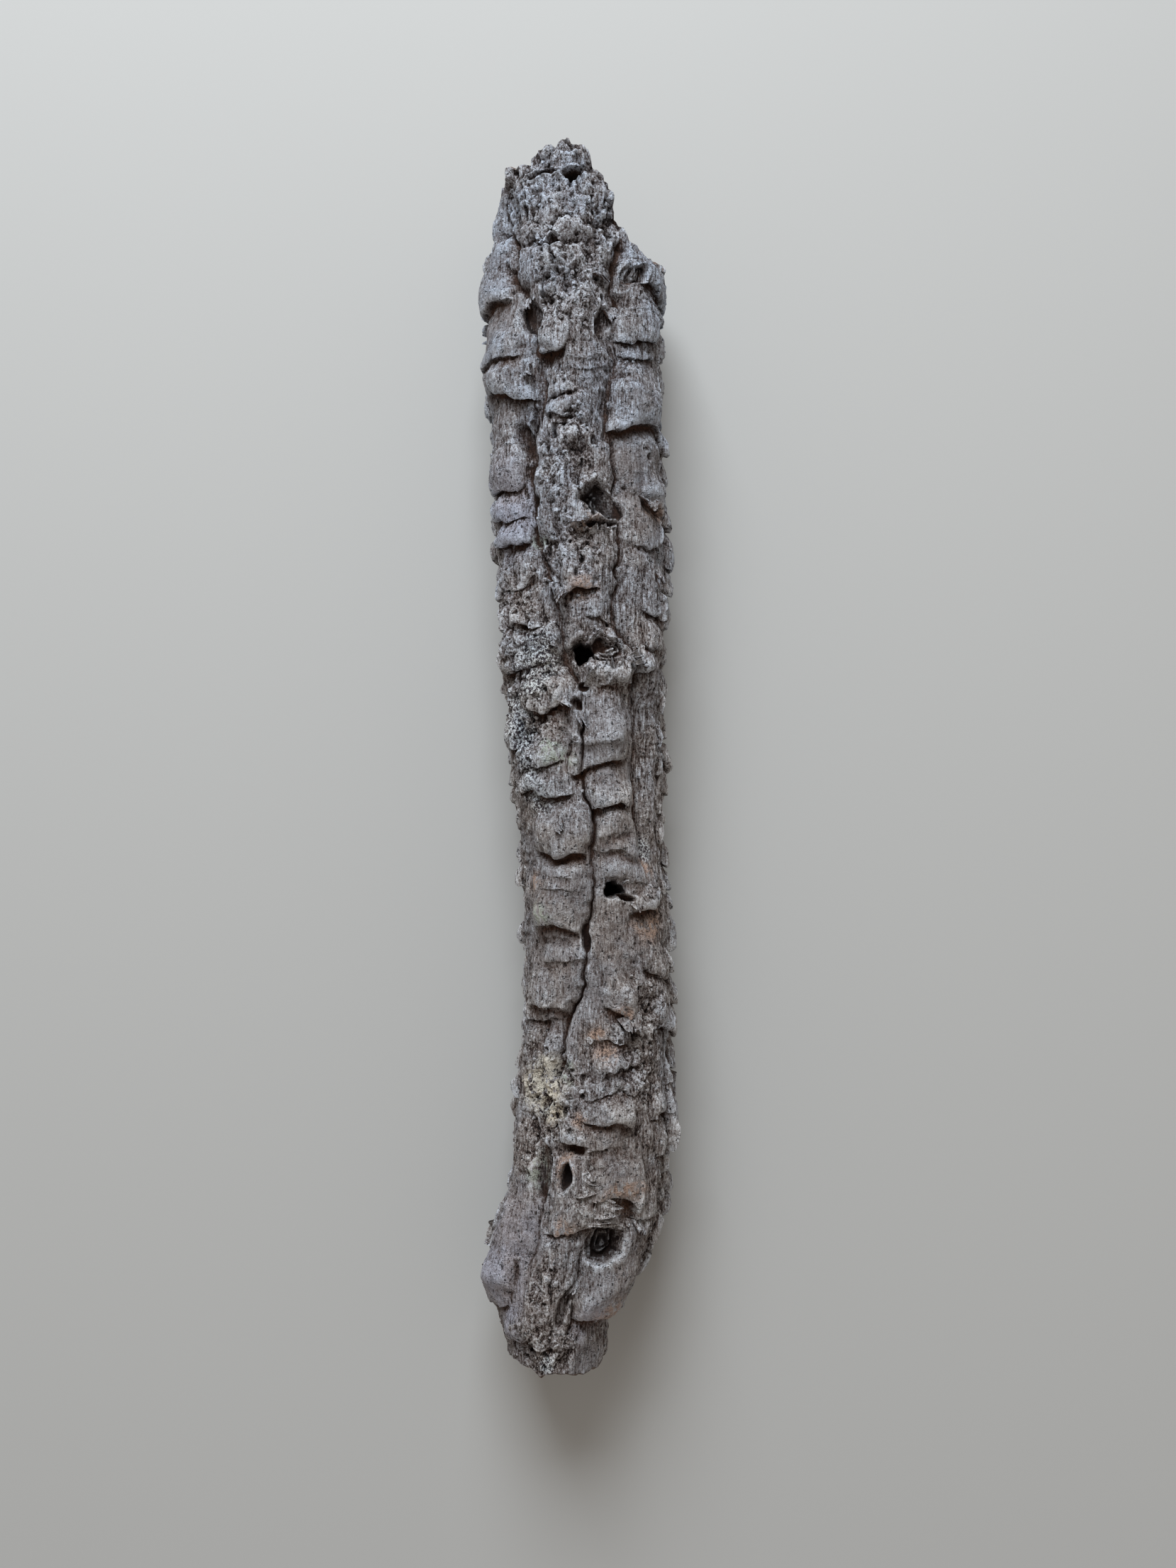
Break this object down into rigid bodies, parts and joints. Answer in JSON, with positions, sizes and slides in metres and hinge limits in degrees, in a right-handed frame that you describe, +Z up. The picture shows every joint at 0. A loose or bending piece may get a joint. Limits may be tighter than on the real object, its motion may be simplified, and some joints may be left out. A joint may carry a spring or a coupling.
{
  "type": "cork bark tube",
  "caption": "Hollow tube of rough cork bark, ridged and fissured outside, with knot holes through its wall, lying on its back.",
  "frame": {"origin": "on the surface the tube lies on, under the middle of its bounding box", "axes": "+Y runs along the tube from its narrow foot to its wide head, +Z points up through its weathered face, +X is across it"},
  "size_m": [0.1189, 0.6924, 0.0992],
  "materials": {
    "cork_bark": "dry weathered cork, grey-beige with brown hollows and pale lichen"
  },
  "bodies": {
    "root": {"cork_bark_tube": "cork_bark"}
  },
  "joints": []
}
